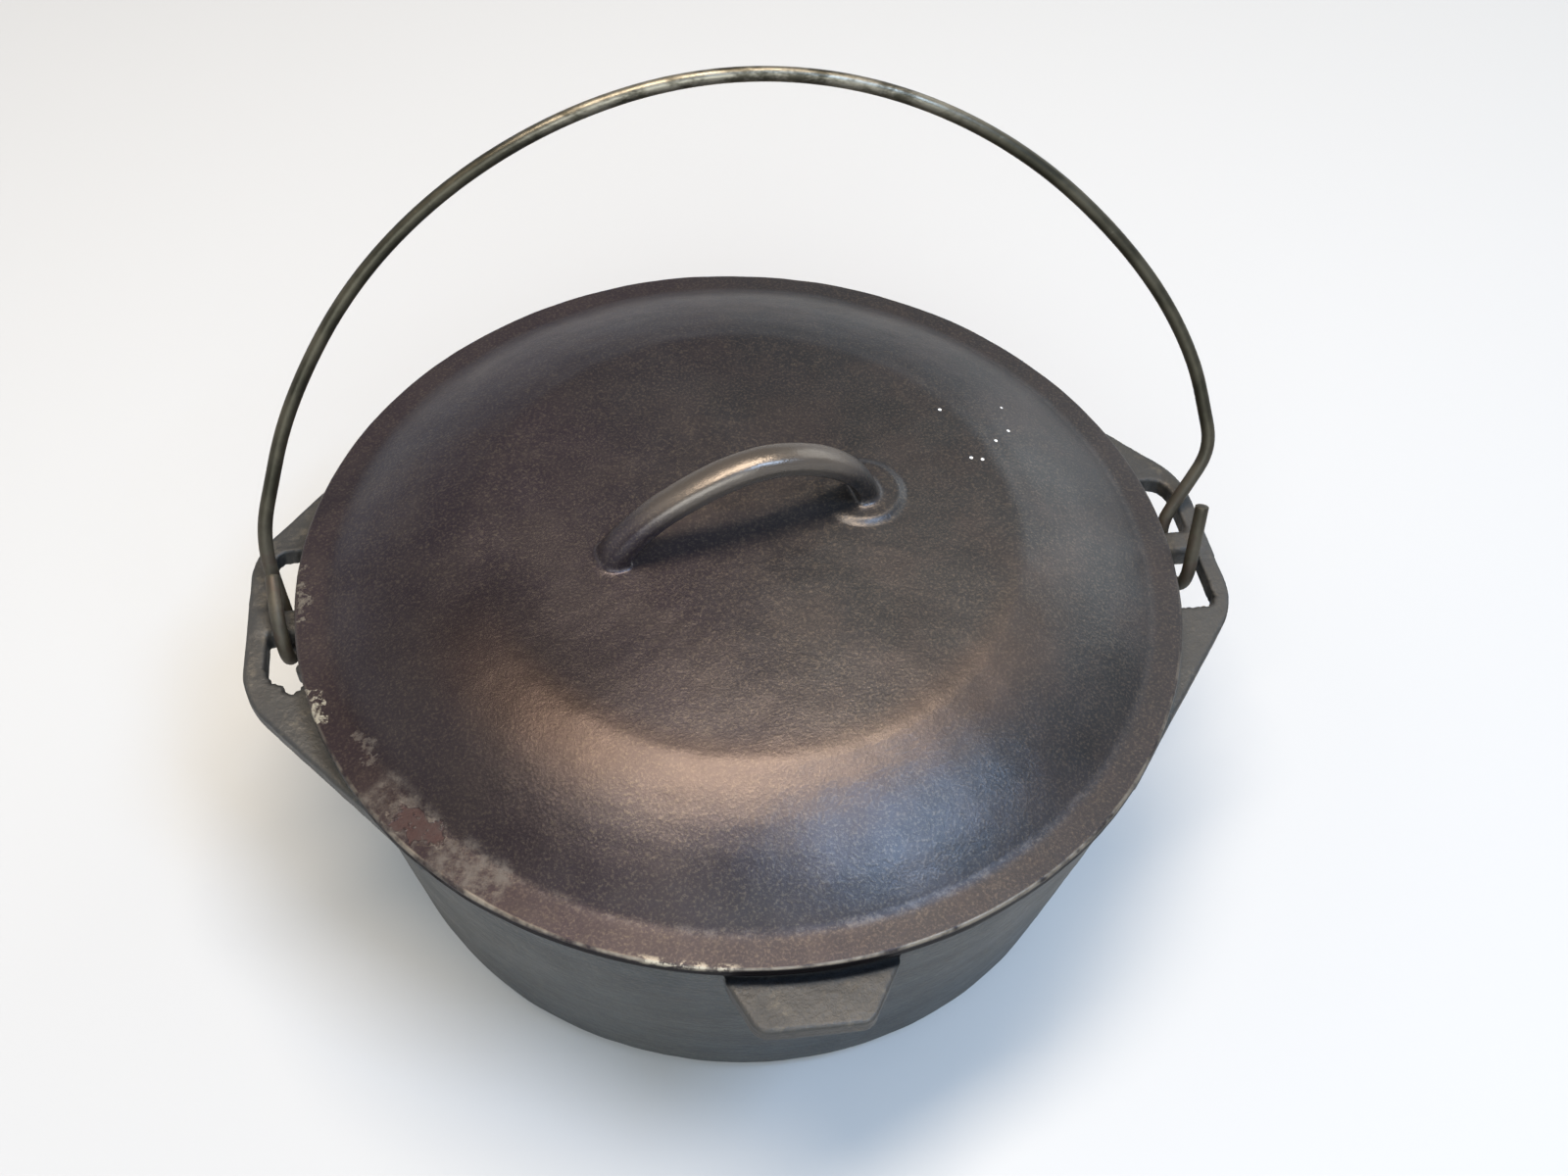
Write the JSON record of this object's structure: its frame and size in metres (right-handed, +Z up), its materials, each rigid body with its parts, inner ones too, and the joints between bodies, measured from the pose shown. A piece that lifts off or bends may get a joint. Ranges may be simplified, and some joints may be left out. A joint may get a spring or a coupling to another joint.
{
  "type": "dutch oven",
  "caption": "Round cast iron pot with a flat base, slotted side ears and a pouring tab, a domed lid with a cast loop handle, and a hooked steel wire bail.",
  "frame": {"origin": "centre of the underside of the pot's flat base", "axes": "+Z up, away from the base; +X from the pot's middle to the ear on the right, along the bail's hinge axis; +Y to the back, so the tab points to -Y"},
  "size_m": [0.2972, 0.273, 0.2114],
  "materials": {
    "pot_iron": "seasoned, sandy as-cast",
    "lid_iron": "seasoned, satin with worn patches",
    "bail_steel": "dark oiled wire, worn bright at the crown"
  },
  "bodies": {
    "pot": {"pot": "pot_iron"},
    "lid": {"lid": "lid_iron"},
    "bail": {"bail": "bail_steel"}
  },
  "joints": [
    {"name": "bail_swing", "type": "hinge", "parent": "pot", "child": "bail", "pos_m": [0, 0, 0.086], "axis": [1, 0, 0], "range_deg": [-4, 122]},
    {"name": "lid_lift", "type": "slide", "parent": "pot", "child": "lid", "axis": [0, -0.5, 0.866], "range_m": [0, 0.19]}
  ]
}
